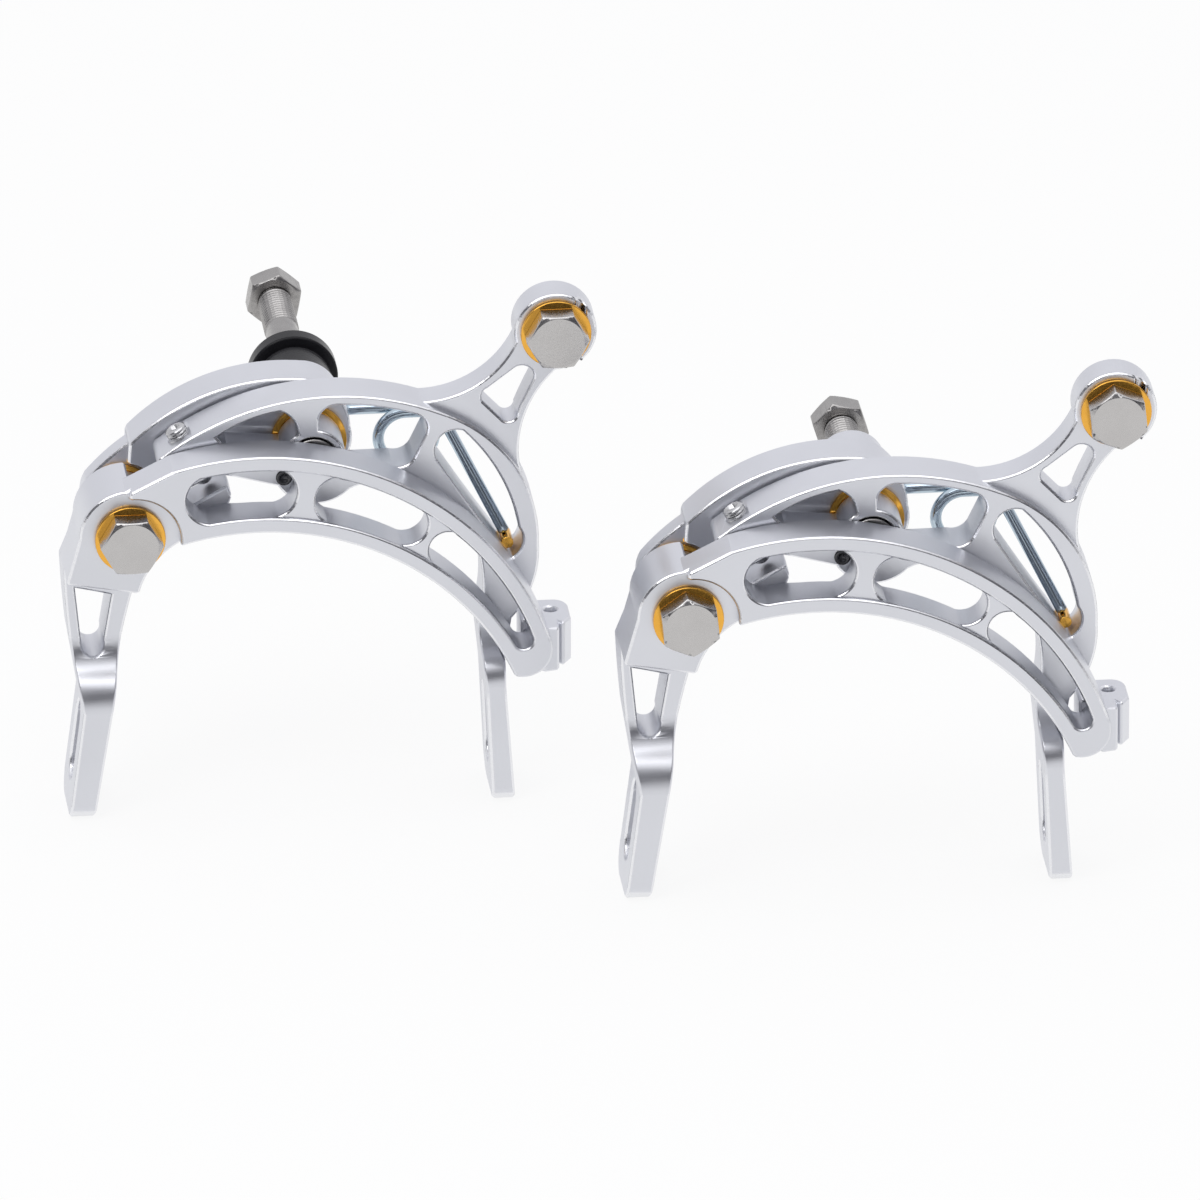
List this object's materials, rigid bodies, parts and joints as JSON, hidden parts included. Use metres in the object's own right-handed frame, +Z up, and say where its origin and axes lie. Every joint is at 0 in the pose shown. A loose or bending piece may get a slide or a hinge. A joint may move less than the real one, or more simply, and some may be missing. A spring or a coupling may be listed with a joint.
{
  "type": "pair of caliper brakes",
  "caption": "Pair of machined silver dual-pivot side-pull caliper brakes with windowed arms, wire return springs, mounting bolts, spacers and cable clamps.",
  "frame": {"origin": "on the front brake's mounting bolt, at the rear face of its spacer, where it seats on the fork", "axes": "+X to the viewer's right across the arms, +Y to the rear along the mounting bolts, +Z up"},
  "size_m": [0.194, 0.1371, 0.0961],
  "materials": {
    "silver_aluminium": "satin bead-blasted, with bright milled edges",
    "stainless_steel": "plain stainless",
    "zinc_steel": "bright zinc",
    "gold_washer": "polished",
    "spring_wire": "blue-grey zinc",
    "black_spacer": "black anodised"
  },
  "bodies": {
    "brackets": {"front_back_bracket": "silver_aluminium", "front_mounting_bolt": "zinc_steel", "front_mounting_nut": "zinc_steel", "front_centre_thrust_washer": "gold_washer", "front_side_thrust_washer": "gold_washer", "front_side_pivot_washer": "gold_washer", "front_side_pivot_bolt": "stainless_steel", "front_return_spring": "spring_wire", "front_spacer": "black_spacer", "rear_back_bracket": "silver_aluminium", "rear_mounting_bolt": "zinc_steel", "rear_mounting_nut": "zinc_steel", "rear_centre_thrust_washer": "gold_washer", "rear_side_thrust_washer": "gold_washer", "rear_side_pivot_washer": "gold_washer", "rear_side_pivot_bolt": "stainless_steel", "rear_return_spring": "spring_wire", "rear_spacer": "silver_aluminium"},
    "front_c_arm": {"front_c_arm": "silver_aluminium"},
    "front_y_arm": {"front_y_arm": "silver_aluminium", "front_pinch_washer": "gold_washer", "front_pinch_bolt": "stainless_steel", "front_adjusting_screw": "zinc_steel", "front_spring_pin": "gold_washer"},
    "rear_c_arm": {"rear_c_arm": "silver_aluminium"},
    "rear_y_arm": {"rear_y_arm": "silver_aluminium", "rear_pinch_washer": "gold_washer", "rear_pinch_bolt": "stainless_steel", "rear_adjusting_screw": "zinc_steel", "rear_spring_pin": "gold_washer"}
  },
  "joints": [
    {"name": "front_c_arm_pivot", "type": "hinge", "parent": "brackets", "child": "front_c_arm", "pos_m": [-0.0341, -0.04, -0.0106], "axis": [0, -1, 0], "range_deg": [0, 9]},
    {"name": "front_y_arm_pivot", "type": "hinge", "parent": "brackets", "child": "front_y_arm", "pos_m": [0, -0.0366, 0], "axis": [0, 1, 0], "range_deg": [0, 8.1], "stiffness_Nm_per_rad": 0.6, "springref_deg": -20.05, "deforming": ["front_return_spring"]},
    {"name": "rear_c_arm_pivot", "type": "hinge", "parent": "brackets", "child": "rear_c_arm", "pos_m": [0.0624, -0.086, -0.0106], "axis": [0, -1, 0], "range_deg": [0, 9]},
    {"name": "rear_y_arm_pivot", "type": "hinge", "parent": "brackets", "child": "rear_y_arm", "pos_m": [0.0965, -0.0826, 0], "axis": [0, 1, 0], "range_deg": [0, 8.1], "stiffness_Nm_per_rad": 0.6, "springref_deg": -20.05, "deforming": ["rear_return_spring"]}
  ],
  "couplings": [
    {"joint": "front_y_arm_pivot", "follows": "front_c_arm_pivot", "ratio": 0.9},
    {"joint": "rear_y_arm_pivot", "follows": "rear_c_arm_pivot", "ratio": 0.9}
  ]
}
